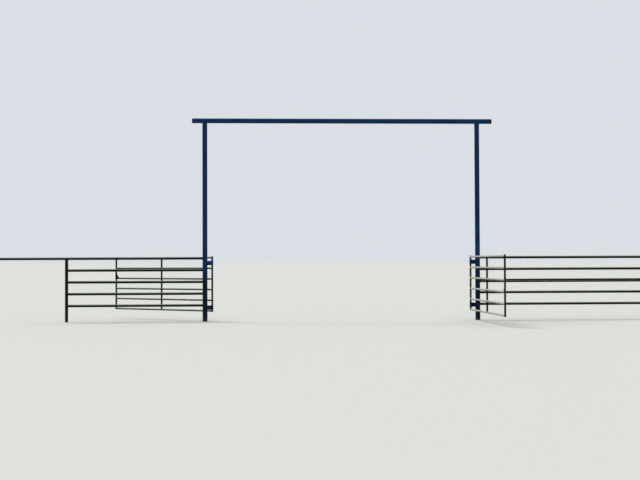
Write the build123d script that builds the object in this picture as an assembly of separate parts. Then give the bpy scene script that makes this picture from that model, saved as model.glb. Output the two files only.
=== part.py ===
from build123d import *
import os

# Ranch gateway of welded steel pipe with swing gates and fence wings, in millimetres.
# Origin: centre of the left gatepost's foot. +X runs to the right gatepost, +Y to the back, +Z up.

# Tall frame
frame_od = 114.3
frame_wall = 6.0
gatepost_spacing = 6400.0
header_z = 4680.0
header_left_overhang = 295.0
header_right_overhang = 347.0

# Pipe fence wings
rail_od = 60.3
rail_wall = 3.9
fence_post_od = 73.0
fence_post_wall = 5.2
top_rail_z = 1470.0
rail_pitch = 273.5
wing_rails = 5
doubled_rail_number = 3
doubled_od = 42.2
doubled_wall = 3.5
left_bay = 3190.0
right_bay = 4200.0
run_on_bay = 3190.0
rail_tail = 60.0

# Swing gates
gate_length = 2990.0
gate_tube_od = 42.2
gate_tube_wall = 3.5
gate_top_rail_z = 1485.0
gate_rail_pitch = 248.0
gate_rails = 6
stile_head = 5.0
stile_toe = 4.0
stay_off_centre = 35.0

# Hinges
hinge_offset = 168.0
left_upper_hinge_z = 1358.0
left_lower_hinge_z = 323.0
right_upper_hinge_z = 1367.0
right_lower_hinge_z = 357.0
sleeve_length = 100.0
sleeve_wall = 3.8
sleeve_clearance = 0.5
plate_thickness = 12.0
collar_height = 12.0
collar_wall = 6.0
collar_clearance = 0.3

# Latch plate on the left gate, and the staple on the right gate that holds the latch chain
latch_rail_number = 3
latch_plate_thickness = 6.0
latch_plate_rise = 105.0
latch_plate_drop = 18.0
latch_plate_lap = 8.0
latch_plate_head = 10.0
latch_plate_reach = 92.0
latch_plate_toe = 6.0
latch_plate_corner = 6.0
latch_slot_offset = 38.0
latch_slot_width = 11.0
latch_slot_clearance = 9.0
staple_rod = 8.0
staple_bend = 12.0
staple_reach = 26.0
staple_rise = 26.0
staple_turn = 35.0

# How the gates stand, in degrees of swing from closed
left_gate_swing = 145.5
right_gate_swing = 92.8

# Joints between pipes, and end caps
weld_gap = 0.3
cap_thickness = 6.0
cap_ledge = 2.5

right_gatepost_x = gatepost_spacing
left_line_post_x = -left_bay
left_end_post_x = left_line_post_x - run_on_bay
right_line_post_x = right_gatepost_x + right_bay
right_end_post_x = right_line_post_x + run_on_bay
sleeve_bore = gate_tube_od + 2 * sleeve_clearance
sleeve_od = sleeve_bore + 2 * sleeve_wall
gate_bottom_rail_z = gate_top_rail_z - (gate_rails - 1) * gate_rail_pitch
latch_rail_z = gate_top_rail_z - (latch_rail_number - 1) * gate_rail_pitch
hinge_heights = {
    "left": {"upper": left_upper_hinge_z, "lower": left_lower_hinge_z},
    "right": {"upper": right_upper_hinge_z, "lower": right_lower_hinge_z},
}

BASE = (Align.CENTER, Align.CENTER, Align.MIN)


def bar(start, end, diameter):
    """Solid round bar from one point to another."""
    run = Vector(*end) - Vector(*start)
    return Plane(origin=start, z_dir=run).location * Cylinder(diameter / 2, run.length, align=BASE)


def pipe(start, end, diameter, wall):
    """Round pipe, open at both ends."""
    return bar(start, end, diameter) - bar(start, end, diameter - 2 * wall)


def coped(piece, start, end, diameter):
    """A piece with its end saddled to fit round another pipe, with the weld gap between them."""
    return piece - bar(start, end, diameter + 2 * weld_gap)


def post(x, crown_z, diameter, wall, carried_od):
    """Upright post with a closed foot, its head saddled under the pipe that it carries."""
    foot = (x, 0, 0)
    crown = (x, 0, crown_z)
    bore = bar((x, 0, wall), crown, diameter - 2 * wall)
    shaft = bar(foot, crown, diameter) - bore
    return coped(shaft, (x - diameter, 0, crown_z), (x + diameter, 0, crown_z), carried_od)


def end_cap(x, z, diameter, outward):
    """Disc over an open pipe end, smaller than the pipe all round so that its weld has a ledge."""
    return bar((x, 0, z), (x + outward * cap_thickness, 0, z), diameter - 2 * cap_ledge)


def wing_rail(z, od, wall, gatepost_x, line_post_x):
    """Fence rail between the gatepost and the line post, saddled round both of them."""
    rail = pipe((gatepost_x, 0, z), (line_post_x, 0, z), od, wall)
    for x, upright_od in ((gatepost_x, frame_od), (line_post_x, fence_post_od)):
        rail = coped(rail, (x, 0, z - od), (x, 0, z + od), upright_od)
    return rail


def top_rail(gatepost_x, tail_x):
    """Top rail, saddled to the gatepost and running over the fence posts to its tail."""
    rail = pipe((gatepost_x, 0, top_rail_z), (tail_x, 0, top_rail_z), rail_od, rail_wall)
    return coped(rail, (gatepost_x, 0, top_rail_z - rail_od), (gatepost_x, 0, top_rail_z + rail_od), frame_od)


def hinge_sleeve(x, z):
    """Short pipe on the hinge axis that the gate's stile turns in."""
    low = (x, 0, z - sleeve_length / 2)
    high = (x, 0, z + sleeve_length / 2)
    return bar(low, high, sleeve_od) - bar(low, high, sleeve_bore)


def hinge_plate(post_x, x, z):
    """Flat plate on edge that carries a sleeve off the gatepost, saddled to both."""
    plate = Pos((post_x + x) / 2, 0, z) * Box(abs(x - post_x), plate_thickness, sleeve_length)
    low = z - sleeve_length
    high = z + sleeve_length
    plate = coped(plate, (post_x, 0, low), (post_x, 0, high), frame_od)
    return coped(plate, (x, 0, low), (x, 0, high), sleeve_od)


def gate_rail_heights():
    """Heights of the gate's rails, from the top one down."""
    return [gate_top_rail_z - i * gate_rail_pitch for i in range(gate_rails)]


def gate_stile(x):
    """Upright of the gate with both ends closed, standing past the outer faces of the end rails."""
    low = gate_bottom_rail_z - gate_tube_od / 2 - stile_toe
    high = gate_top_rail_z + gate_tube_od / 2 + stile_head
    bore = bar((x, 0, low + gate_tube_wall), (x, 0, high - gate_tube_wall), gate_tube_od - 2 * gate_tube_wall)
    return bar((x, 0, low), (x, 0, high), gate_tube_od) - bore


def gate_rail(z):
    """Rail between the stiles, saddled round both."""
    rail = pipe((0, 0, z), (gate_length, 0, z), gate_tube_od, gate_tube_wall)
    for x in (0, gate_length):
        rail = coped(rail, (x, 0, z - gate_tube_od), (x, 0, z + gate_tube_od), gate_tube_od)
    return rail


def gate_mid_stay():
    """Upright near mid length, in short pipes saddled between each rail and the next one down."""
    x = gate_length / 2 + stay_off_centre
    heights = gate_rail_heights()
    lengths = []
    for upper_z, lower_z in zip(heights, heights[1:]):
        length = pipe((x, 0, lower_z), (x, 0, upper_z), gate_tube_od, gate_tube_wall)
        for z in (lower_z, upper_z):
            length = coped(length, (x - gate_tube_od, 0, z), (x + gate_tube_od, 0, z), gate_tube_od)
        lengths.append(length)
    return Compound(children=lengths)


def gate_collar(hinge_z):
    """Ring on the hinge stile that bears on the sleeve below it."""
    low = hinge_z + sleeve_length / 2 + collar_clearance
    bore = gate_tube_od + 2 * weld_gap
    ring = bar((0, 0, low), (0, 0, low + collar_height), bore + 2 * collar_wall)
    return ring - bar((0, 0, low), (0, 0, low + collar_height), bore)


def latch_slot():
    """Outline of the slot that takes a chain link on edge, open at the top, with a round floor."""
    middle = (-latch_slot_offset, gate_tube_od / 2 + latch_slot_clearance + latch_slot_width / 2)
    run = Rectangle(latch_slot_width, latch_plate_rise, align=(Align.CENTER, Align.MIN))
    return Pos(*middle) * (Circle(latch_slot_width / 2) + run)


def latch_plate():
    """Flat plate on the faces of the end stile and the latch rail, slotted from its slanting edge."""
    corners = [
        (latch_plate_lap, -latch_plate_drop),
        (latch_plate_lap, latch_plate_rise),
        (-latch_plate_head, latch_plate_rise),
        (-latch_plate_reach, latch_plate_toe),
        (-latch_plate_reach, -latch_plate_drop),
    ]
    outline = fillet(Polygon(*corners, align=None).vertices(), latch_plate_corner)
    plate = Rot(90, 0, 0) * extrude(outline - latch_slot(), latch_plate_thickness)
    face = gate_tube_od / 2 + weld_gap + latch_plate_thickness
    return Pos(gate_length, face, latch_rail_z) * plate


def chain_staple():
    """Bent rod on the outer side of the end stile, turned a little towards the face that latches."""
    bend_centre = gate_tube_od / 2 + staple_reach - staple_rod / 2 - staple_bend
    half_ring = Rot(0, 0, -90) * Torus(staple_bend, staple_rod / 2, major_angle=180, align=None)
    rod = Pos(bend_centre, 0, 0) * Rot(90, 0, 0) * half_ring
    for z in (-staple_bend, staple_bend):
        rod += bar((0, 0, z), (bend_centre, 0, z), staple_rod)
    rod = coped(rod, (0, 0, -staple_reach), (0, 0, staple_reach), gate_tube_od)
    return Pos(gate_length, 0, latch_rail_z + staple_rise) * Rot(0, 0, -staple_turn) * rod


def gate_parts(side):
    """The pieces of one side's gate, closed along +X with its hinge axis on Z."""
    pieces = {
        "hinge_stile": gate_stile(0),
        "end_stile": gate_stile(gate_length),
        "rails": Compound(children=[gate_rail(z) for z in gate_rail_heights()]),
        "mid_stay": gate_mid_stay(),
        "collars": Compound(children=[gate_collar(z) for z in hinge_heights[side].values()]),
    }
    if side == "left":
        pieces["latch_plate"] = latch_plate()
    else:
        pieces["chain_staple"] = chain_staple()
    return pieces


def tall_frame():
    """Both gateposts and the capped header across them."""
    left_end = -header_left_overhang
    right_end = right_gatepost_x + header_right_overhang
    inner_left = left_end + cap_thickness
    inner_right = right_end - cap_thickness
    return {
        "left_gatepost": post(0, header_z, frame_od, frame_wall, frame_od),
        "right_gatepost": post(right_gatepost_x, header_z, frame_od, frame_wall, frame_od),
        "header_pipe": pipe((inner_left, 0, header_z), (inner_right, 0, header_z), frame_od, frame_wall),
        "header_left_cap": end_cap(inner_left, header_z, frame_od, -1),
        "header_right_cap": end_cap(inner_right, header_z, frame_od, 1),
    }


def wing(side, gatepost_x, line_post_x, end_post_x, outward):
    """Fence wing: a railed bay off the gatepost, and a bay beyond it with the top rail alone."""
    tail_x = end_post_x + outward * (rail_tail - cap_thickness)
    pieces = {
        f"{side}_line_post": post(line_post_x, top_rail_z, fence_post_od, fence_post_wall, rail_od),
        f"{side}_end_post": post(end_post_x, top_rail_z, fence_post_od, fence_post_wall, rail_od),
        f"{side}_top_rail": top_rail(gatepost_x, tail_x),
        f"{side}_top_rail_cap": end_cap(tail_x, top_rail_z, rail_od, outward),
    }
    for number in range(2, wing_rails + 1):
        z = top_rail_z - (number - 1) * rail_pitch
        name = f"{side}_rail_{number}"
        if side == "right" and number == doubled_rail_number:
            lift = (doubled_od + weld_gap) / 2
            for row, height in (("upper", z + lift), ("lower", z - lift)):
                pieces[f"{name}_{row}"] = wing_rail(height, doubled_od, doubled_wall, gatepost_x, line_post_x)
        else:
            pieces[name] = wing_rail(z, rail_od, rail_wall, gatepost_x, line_post_x)
    return pieces


def hinges(side, post_x, inward):
    """The plates and sleeves on one gatepost."""
    axis_x = post_x + inward * hinge_offset
    pieces = {}
    for level, z in hinge_heights[side].items():
        pieces[f"{side}_{level}_hinge_plate"] = hinge_plate(post_x, axis_x, z)
        pieces[f"{side}_{level}_hinge_sleeve"] = hinge_sleeve(axis_x, z)
    return pieces


def hung_gate(side, axis_x, heading):
    """One gate on its hinge axis, its length pointing along a heading."""
    place = Pos(axis_x, 0, 0) * Rot(0, 0, heading)
    return {f"{side}_gate_{name}": place * piece for name, piece in gate_parts(side).items()}


nodes = {
    **tall_frame(),
    **wing("left", 0, left_line_post_x, left_end_post_x, -1),
    **wing("right", right_gatepost_x, right_line_post_x, right_end_post_x, 1),
    **hinges("left", 0, 1),
    **hinges("right", right_gatepost_x, -1),
    **hung_gate("left", hinge_offset, left_gate_swing),
    **hung_gate("right", right_gatepost_x - hinge_offset, 180 + right_gate_swing),
}

os.makedirs("parts", exist_ok=True)
for name, piece in nodes.items():
    export_step(piece, f"parts/{name}.step")
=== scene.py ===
"""The looks of a ranch gateway: enamelled pipe, weld beads, a latch chain, and the studio round them."""
import logging
import math
from dataclasses import dataclass, field, replace
from enum import Enum
from typing import Any, Iterable, Sequence

import bmesh
import bpy
from mathutils import Matrix, Vector


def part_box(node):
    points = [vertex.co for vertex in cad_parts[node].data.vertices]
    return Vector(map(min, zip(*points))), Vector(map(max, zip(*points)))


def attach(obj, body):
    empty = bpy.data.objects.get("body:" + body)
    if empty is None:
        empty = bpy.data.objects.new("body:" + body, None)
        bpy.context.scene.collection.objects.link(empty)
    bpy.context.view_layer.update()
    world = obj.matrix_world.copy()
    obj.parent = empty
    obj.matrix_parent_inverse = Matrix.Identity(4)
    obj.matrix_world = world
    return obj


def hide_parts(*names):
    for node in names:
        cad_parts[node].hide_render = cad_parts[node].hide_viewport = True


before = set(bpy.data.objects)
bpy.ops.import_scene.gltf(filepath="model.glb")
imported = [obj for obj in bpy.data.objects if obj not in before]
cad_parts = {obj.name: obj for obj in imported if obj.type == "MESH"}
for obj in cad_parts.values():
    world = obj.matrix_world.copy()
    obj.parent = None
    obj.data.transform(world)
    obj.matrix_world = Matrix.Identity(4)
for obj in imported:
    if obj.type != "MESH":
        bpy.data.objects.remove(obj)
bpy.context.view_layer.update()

log = logging.getLogger("gateway")

MM = 0.001
SAME_POINT = 0.01 * MM
ACROSS = Vector((1.0, 0.0, 0.0))
UP = Vector((0.0, 0.0, 1.0))
QUARTER_TURN = 0.5 * math.pi
HINGE_LEVELS = ("upper", "lower")

Triple = tuple[float, float, float]
Colour = Triple
Ramp = tuple[float, float]
Line = list[Vector]
Face = tuple[int, ...]
Inputs = dict[str, Any]


class Body(Enum):
    """The bodies that pieces ride on."""

    GATEWAY = "gateway"
    LEFT_GATE = "left_gate"
    RIGHT_GATE = "right_gate"


class Side(Enum):
    """Left or right as the camera sees the gateway, with the way out from its middle along X."""

    LEFT = ("left", -1.0)
    RIGHT = ("right", 1.0)

    @property
    def word(self) -> str:
        """The side's word in the names of nodes and pieces."""
        return self.value[0]

    @property
    def outward(self) -> Vector:
        """Direction from the passage to this side's wing."""
        return ACROSS * self.value[1]

    @property
    def gate_body(self) -> Body:
        """The body of this side's gate."""
        return Body.LEFT_GATE if self is Side.LEFT else Body.RIGHT_GATE


class Wire:
    """A value that runs between nodes, and can be used in sums."""

    def __init__(self, tree: "NodeTree", socket: bpy.types.NodeSocket) -> None:
        """Keeps the tree and the output socket that carries the value."""
        self.tree = tree
        self.socket = socket

    def __add__(self, other: "Term") -> "Wire":
        """Sum of both."""
        return self.tree.sum_node("ADD", self, other)

    __radd__ = __add__

    def __sub__(self, other: "Term") -> "Wire":
        """This less the other."""
        return self.tree.sum_node("SUBTRACT", self, other)

    def __rsub__(self, other: "Term") -> "Wire":
        """The other less this."""
        return self.tree.sum_node("SUBTRACT", other, self)

    def __mul__(self, other: "Term") -> "Wire":
        """Product of both."""
        return self.tree.sum_node("MULTIPLY", self, other)

    __rmul__ = __mul__

    def __truediv__(self, other: "Term") -> "Wire":
        """This over the other."""
        return self.tree.sum_node("DIVIDE", self, other)

    def fraction(self) -> "Wire":
        """What is left over the whole number below."""
        return self.tree.sum_node("FRACT", self)

    def unsigned(self) -> "Wire":
        """The value without its sign."""
        return self.tree.sum_node("ABSOLUTE", self)

    def larger(self, other: "Term") -> "Wire":
        """The larger of both."""
        return self.tree.sum_node("MAXIMUM", self, other)

    def step(self, none: float, full: float) -> "Wire":
        """Smooth rise from 0 to 1, or a fall where none is the larger.

        Args:
            none: Value at which it is 0.
            full: Value at which it is 1.

        Returns:
            The share, held between 0 and 1.
        """
        if none > full:
            return 1.0 - self.step(full, none)
        ends = {"Value": self, "From Min": none, "From Max": full}
        return self.tree.wire("ShaderNodeMapRange", {"interpolation_type": "SMOOTHSTEP"}, ends)


Term = Wire | float


class NodeTree:
    """A node tree of a material, a world or a modifier, filled one node at a time."""

    def __init__(self, tree: bpy.types.NodeTree) -> None:
        """Takes an empty tree, or empties it."""
        self.tree = tree
        tree.nodes.clear()

    def node(
        self, kind: str, settings: Inputs | None = None, inputs: Inputs | None = None
    ) -> bpy.types.Node:
        """Adds a node.

        Args:
            kind: The node's type.
            settings: The node's own properties, set first.
            inputs: Values or wires by the input's identifier or name.

        Returns:
            The new node.
        """
        made = self.tree.nodes.new(kind)
        for name, value in (settings or {}).items():
            setattr(made, name, value)
        for name, value in (inputs or {}).items():
            socket = self._socket(made, name)
            if isinstance(value, Wire):
                self.tree.links.new(value.socket, socket)
            else:
                socket.default_value = value
        return made

    def wire(
        self,
        kind: str,
        settings: Inputs | None = None,
        inputs: Inputs | None = None,
        output: str | None = None,
    ) -> Wire:
        """Adds a node and takes one of its outputs.

        Args:
            kind: The node's type.
            settings: The node's own properties.
            inputs: Values or wires by the input's identifier or name.
            output: Identifier or name of the output, or none for the first one in use.

        Returns:
            The wire from that output.
        """
        outputs = [s for s in self.node(kind, settings, inputs).outputs if s.enabled]
        return Wire(self, next(s for s in outputs if output in (None, s.identifier, s.name)))

    def sum_node(self, operation: str, *terms: Term) -> Wire:
        """Math node on one or two terms."""
        sockets = dict(zip(("Value", "Value_001"), terms))
        return self.wire("ShaderNodeMath", {"operation": operation}, sockets)

    @staticmethod
    def _socket(node: bpy.types.Node, name: str) -> bpy.types.NodeSocket:
        """The input with that identifier, or else that name."""
        exact = [s for s in node.inputs if s.identifier == name]
        return exact[0] if exact else next(s for s in node.inputs if s.name == name and s.enabled)


@dataclass(frozen=True)
class Pattern:
    """A cloudy pattern on a piece's own coordinates, which goes from 0 to 1 about its middle.

    Attributes:
        scale: Patches to the metre.
        detail: Levels of finer pattern.
        stretch: Scale along each axis, where under 1 makes the patches longer.
        turn: Distortion of the pattern.
    """

    scale: float
    detail: float = 3.0
    stretch: Triple = (1.0, 1.0, 1.0)
    turn: float = 0.0


# Middle of every pattern's range, and the stretch of a pattern that runs down
MIDDLE = 0.5
DOWNWARD: Triple = (1.0, 1.0, 0.05)
# What the enamel, its rust and the plating are patterned with
CLOUDS = Pattern(1.7, detail=4.0)
MOTTLE = Pattern(17.0, detail=5.0)
STREAKS = Pattern(38.0, stretch=DOWNWARD)
GRIT = Pattern(420.0, detail=2.0)
FLAKES = Pattern(62.0, detail=6.0, turn=0.8)
BRUSH_PEEL = Pattern(260.0, detail=1.0)
RAGGED_EDGE = Pattern(300.0)
WANDERING = Pattern(24.0)
RUST_RUNS = Pattern(110.0, stretch=DOWNWARD)
SEEPING = Pattern(180.0, detail=4.0)
DULLING = Pattern(45.0, detail=4.0)
RUST_SPOTS = Pattern(130.0, detail=4.0)


class ShaderTree(NodeTree):
    """A material's or a world's tree, with the nodes that its finishes share."""

    def noise(self, pattern: Pattern) -> Wire:
        """Lays a pattern on the piece.

        Args:
            pattern: The pattern.

        Returns:
            Its value, from 0 to 1.
        """
        place = self.wire("ShaderNodeTexCoord", output="Object")
        mapped = self.wire("ShaderNodeMapping", None, {"Vector": place, "Scale": pattern.stretch})
        inputs = {"Scale": pattern.scale, "Detail": pattern.detail, "Distortion": pattern.turn}
        return self.wire("ShaderNodeTexNoise", None, {"Vector": mapped, **inputs})

    def height(self) -> Wire:
        """Height above the ground, in metres."""
        place = self.wire("ShaderNodeTexCoord", output="Object")
        return self.wire("ShaderNodeSeparateXYZ", None, {"Vector": place}, "Z")

    def upward(self) -> Wire:
        """How far the surface faces up: 1 on top, 0 on a wall, -1 underneath."""
        normal = self.wire("ShaderNodeNewGeometry", output="Normal")
        return self.wire("ShaderNodeSeparateXYZ", None, {"Vector": normal}, "Z")

    def blend(self, share: Term, low: Wire | Colour, high: Wire | Colour) -> Wire:
        """Colour that goes from low to high as share goes from 0 to 1."""
        inputs = {"Factor_Float": share, "A_Color": self._rgba(low), "B_Color": self._rgba(high)}
        return self.wire("ShaderNodeMix", {"data_type": "RGBA"}, inputs, "Result_Color")

    @staticmethod
    def _rgba(colour: Wire | Colour) -> Any:
        """A colour with its fourth number, or the wire as it is."""
        return colour if isinstance(colour, Wire) else (*colour, 1.0)


@dataclass(frozen=True)
class Finish:
    """A surface finish. Each kind paints its own colours and relief."""

    name: str

    def material(self) -> bpy.types.Material:
        """Makes the finish's material, once for all pieces.

        Returns:
            The material.
        """
        made = bpy.data.materials.get(self.name)
        if made is None:
            made = bpy.data.materials.new(self.name)
            made.use_nodes = True
            tree = ShaderTree(made.node_tree)
            surface = tree.wire("ShaderNodeBsdfPrincipled", None, self.surface(tree))
            tree.node("ShaderNodeOutputMaterial", None, {"Surface": surface})
        return made

    def surface(self, tree: ShaderTree) -> Inputs:
        """Inputs of the surface shader."""
        raise NotImplementedError


@dataclass(frozen=True)
class Weathering:
    """How brushed enamel ages out of doors, with its painted highlight and painted dark reflection, the same
    on every pipe.

    A ramp says where, on a pattern or on how far a face looks up, a share goes from 0 to 1.

    Attributes:
        deep: Colour of the darker patches, as a share of the sound enamel's.
        cloudy: How much of the patches the clouds make up, where the mottle makes up the rest.
        patches: Ramp of the patches.
        dark_reflection_wander: How far the top of the painted dark reflection wanders, in metres.
        dark_reflection_full: Where the painted dark reflection is full, as a share of its top.
        cover: How far the painted dark reflection, soil and undercoat hide what is under them.
        washes: Ramp of the rain streaks.
        mottling: Ramp of the mottle under them.
        ragged: How far the edge of the bleach and painted highlight wanders, as a share of its width.
        bleach_and_highlight_least: Bleach and painted highlight where the mottle is at its low mark.
        bleach_and_highlight_swing: How much the mottle adds to it.
        bleach_and_highlight_low: The mottle's low mark.
        lying: Ramp of faces that dust can lie on.
        clouding: Ramp of the clouds in the dust.
        thin_soil: How much soil lies between its specks.
        specks: Ramp of the specks.
        crowding: How far chips crowd together.
        chip_edge: Width of a chip's edge, on the flakes' pattern.
        rust_edge: Over what width a chip goes to rust.
        chalk_film: What the bleach and painted highlight add to the roughness.
        dust_film: What dust adds.
        soil_film: What soil adds.
        chip_film: What a chip adds.
        uneven_sheen: How much the mottle changes the roughness.
        peel: Depth of the brushed surface's peel in the relief.
        streak_depth: Depth of the rain streaks in the relief.
        chip_depth: Depth of a chip in the relief.
        relief: Strength of the relief.
        relief_height: Height of the relief, in metres.
    """

    deep: float = 0.6
    cloudy: float = 0.6
    patches: Ramp = (0.38, 0.62)
    dark_reflection_wander: float = 0.5
    dark_reflection_full: float = 0.5
    cover: float = 0.8
    washes: Ramp = (0.5, 0.75)
    mottling: Ramp = (0.3, 0.7)
    ragged: float = 0.5
    bleach_and_highlight_least: float = 0.55
    bleach_and_highlight_swing: float = 0.9
    bleach_and_highlight_low: float = 0.15
    lying: Ramp = (0.55, 1.0)
    clouding: Ramp = (0.3, 0.7)
    thin_soil: float = 0.35
    specks: Ramp = (0.4, 0.6)
    crowding: float = 0.24
    chip_edge: float = 0.008
    rust_edge: float = 0.03
    chalk_film: float = 0.3
    dust_film: float = 0.5
    soil_film: float = 0.4
    chip_film: float = 0.35
    uneven_sheen: float = 0.14
    peel: float = 0.6
    streak_depth: float = 0.4
    chip_depth: float = 0.9
    relief: float = 0.35
    relief_height: float = 0.4 * MM


@dataclass(frozen=True)
class PipeEnamel(Finish):
    """Enamel brushed on steel pipe as it weathers out of doors, with painted highlight and painted
    reflection.

    Attributes:
        colour: The enamel where it is sound.
        chalk: What its upper side turns to, as bleach and as a painted highlight.
        chalking: How far the upper side takes the bleach and painted highlight, 0 to 1.
        chalk_from: How far up the side has to face before the bleach and painted highlight start, -1 to 1.
        chalk_over: Over what further turn it goes from sound enamel to full bleach and painted highlight.
        dust: How much dust lies on top, 0 to 1.
        dust_colour: The dust.
        stained_top: Up to where the enamel is painted darker, a painted reflection of the ground, in metres.
        stain: The darker colour painted there.
        splash_top: How high rain throws soil up the steel, in metres.
        soil: The soil.
        washing: How far rain streaks stand out, 0 to 1.
        rusting: How much rust shows in the chips, 0 to 1.
        rust: The rust.
        primer: The undercoat, which shows round a chip.
        chips: How far the flakes' pattern has to rise before enamel comes off, where less gives more chips.
        roughness: Of sound enamel.
        gloss: Specular level of the enamel.
        age: How the enamel ages.
    """

    colour: Colour
    chalk: Colour = (0.16, 0.18, 0.17)
    chalking: float = 0.3
    chalk_from: float = 0.3
    chalk_over: float = 0.25
    dust: float = 0.2
    dust_colour: Colour = (0.26, 0.23, 0.18)
    stained_top: float = 0.0
    stain: Colour = (0.0005, 0.006, 0.014)
    splash_top: float = 0.14
    soil: Colour = (0.060, 0.050, 0.034)
    washing: float = 0.05
    rusting: float = 0.85
    rust: Colour = (0.085, 0.031, 0.014)
    primer: Colour = (0.045, 0.042, 0.038)
    chips: float = 0.675
    roughness: float = 0.30
    gloss: float = 0.3
    age: Weathering = Weathering()

    def surface(self, tree: ShaderTree) -> Inputs:
        """Paints sound enamel, then bleach with a painted highlight, dust, soil and chips over it.

        Args:
            tree: The material's tree.

        Returns:
            Inputs of the surface shader.
        """
        age = self.age
        clouds, mottle, streaks = (tree.noise(pattern) for pattern in (CLOUDS, MOTTLE, STREAKS))
        colour = self._sound(tree, clouds, mottle)
        washed = streaks.step(*age.washes) * mottle.step(*age.mottling) * self.washing
        colour = tree.blend(washed, colour, self.chalk)
        # Painted highlight: upper sides are painted paler, partly bleach and partly the light that falls on
        # them
        bleach_and_highlight_mask = self._bleach_and_highlight(tree, mottle, streaks)
        colour = tree.blend(bleach_and_highlight_mask * self.chalking, colour, self.chalk)
        dusty = tree.upward().step(*age.lying) * clouds.step(*age.clouding) * self.dust
        colour = tree.blend(dusty, colour, self.dust_colour)
        speckled = age.thin_soil + (1.0 - age.thin_soil) * tree.noise(GRIT).step(*age.specks)
        splash = tree.height().step(self.splash_top, 0.0) * speckled
        colour = tree.blend(splash * age.cover, colour, self.soil)
        flaking = tree.noise(FLAKES) + (clouds - MIDDLE) * age.crowding
        chipped = flaking.step(self.chips, self.chips + age.chip_edge)
        rusty = flaking.step(self.chips, self.chips + age.rust_edge) * self.rusting
        colour = tree.blend(rusty, tree.blend(chipped * age.cover, colour, self.primer), self.rust)
        film = bleach_and_highlight_mask * self.chalking * age.chalk_film + dusty * age.dust_film
        film = film + splash * age.soil_film + chipped * age.chip_film
        depth = tree.noise(BRUSH_PEEL) * age.peel + streaks * age.streak_depth - chipped * age.chip_depth
        bump = {"Strength": age.relief, "Distance": age.relief_height, "Height": depth}
        return {
            "Base Color": colour,
            "Roughness": self.roughness + age.uneven_sheen * (mottle - MIDDLE) + film,
            "Specular IOR Level": self.gloss,
            "Normal": tree.wire("ShaderNodeBump", None, bump),
        }

    def _sound(self, tree: ShaderTree, clouds: Wire, mottle: Wire) -> Wire:
        """Colour of enamel that is whole, in darker and lighter patches, painted darker low down as a
        reflection of the ground.

        Args:
            tree: The material's tree.
            clouds: The broad pattern.
            mottle: The finer pattern.

        Returns:
            The colour.
        """
        age = self.age
        patches = (age.cloudy * clouds + (1.0 - age.cloudy) * mottle).step(*age.patches)
        colour = tree.blend(patches, tuple(age.deep * c for c in self.colour), self.colour)
        # Painted reflection: darker low down, where the enamel mirrors the ground and not the sky
        if self.stained_top > 0.0:
            wavering = tree.height() + (clouds - MIDDLE) * age.dark_reflection_wander
            stain_and_dark_reflection = wavering.step(self.stained_top, age.dark_reflection_full * self.stained_top)
            colour = tree.blend(stain_and_dark_reflection * age.cover, colour, self.stain)
        return colour

    def _bleach_and_highlight(self, tree: ShaderTree, mottle: Wire, streaks: Wire) -> Wire:
        """How far the upper side takes bleach and a painted highlight, with a ragged edge.

        Args:
            tree: The material's tree.
            mottle: The pattern that varies it.
            streaks: The pattern that frays its edge.

        Returns:
            The share, before the finish's own chalking.
        """
        age = self.age
        frayed = (streaks + mottle - 2 * MIDDLE) * age.ragged * self.chalk_over
        facing = (tree.upward() + frayed).step(self.chalk_from, self.chalk_from + self.chalk_over)
        return facing * (age.bleach_and_highlight_least + age.bleach_and_highlight_swing * (mottle - age.bleach_and_highlight_low))


@dataclass(frozen=True)
class HingeEnamel(PipeEnamel):
    """Enamel on the hinges, rubbed to bare steel where collar and sleeve run on each other.

    Attributes:
        running_faces: Heights at which they run, in metres.
        rubbed: How far from there the enamel has gone, in metres.
        rub_edge: Where the bare steel ends and where it is whole, as shares of rubbed.
        steel: The bare metal.
        shine: How metallic it is.
        run_length: How far rust runs down from there, in metres.
        run_wander: How far the runs' ends wander, in metres.
        runs: Ramp of the runs.
        run_cover: How far the rust hides the enamel.
    """

    running_faces: tuple[float, ...] = ()
    rubbed: float = 3.5 * MM
    rub_edge: Ramp = (1.4, 0.9)
    steel: Colour = (0.17, 0.16, 0.15)
    shine: float = 0.9
    run_length: float = 55.0 * MM
    run_wander: float = 0.12
    runs: Ramp = (0.5, 0.78)
    run_cover: float = 0.6

    def surface(self, tree: ShaderTree) -> Inputs:
        """Rubs and stains the enamel at each running face.

        Args:
            tree: The material's tree.

        Returns:
            Inputs of the surface shader.
        """
        inputs = super().surface(tree)
        height = tree.height()
        ragged = tree.noise(RAGGED_EDGE) * self.rubbed
        wander = (tree.noise(WANDERING) - MIDDLE) * self.run_wander
        runs = tree.noise(RUST_RUNS).step(*self.runs)
        edge = tuple(share * self.rubbed for share in self.rub_edge)
        bare: Term = 0.0
        stain_and_dark_reflection: Term = 0.0
        for face in self.running_faces:
            below = face - height
            bare = (below.unsigned() + ragged).step(*edge) + bare
            fading = (below + wander).step(self.run_length, 0.0)
            stain_and_dark_reflection = below.step(-self.rubbed, 0.0) * fading * runs + stain_and_dark_reflection
        colour = tree.blend(stain_and_dark_reflection * self.run_cover, inputs["Base Color"], self.rust)
        inputs["Base Color"] = tree.blend(bare, colour, self.steel)
        inputs["Metallic"] = bare * self.shine
        return inputs


@dataclass(frozen=True)
class WeldEnamel(PipeEnamel):
    """Enamel over weld beads, thin on the ripples and rusting between them.

    Attributes:
        seeping: Ramp of the rust that seeps through.
        seep_film: What it adds to the roughness.
    """

    seeping: Ramp = (0.56, 0.72)
    seep_film: float = 0.25

    def surface(self, tree: ShaderTree) -> Inputs:
        """Lets rust seep through the enamel.

        Args:
            tree: The material's tree.

        Returns:
            Inputs of the surface shader.
        """
        inputs = super().surface(tree)
        seep = tree.noise(SEEPING).step(*self.seeping)
        inputs["Base Color"] = tree.blend(seep * self.rusting, inputs["Base Color"], self.rust)
        inputs["Roughness"] = inputs["Roughness"] + seep * self.seep_film
        return inputs


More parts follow.
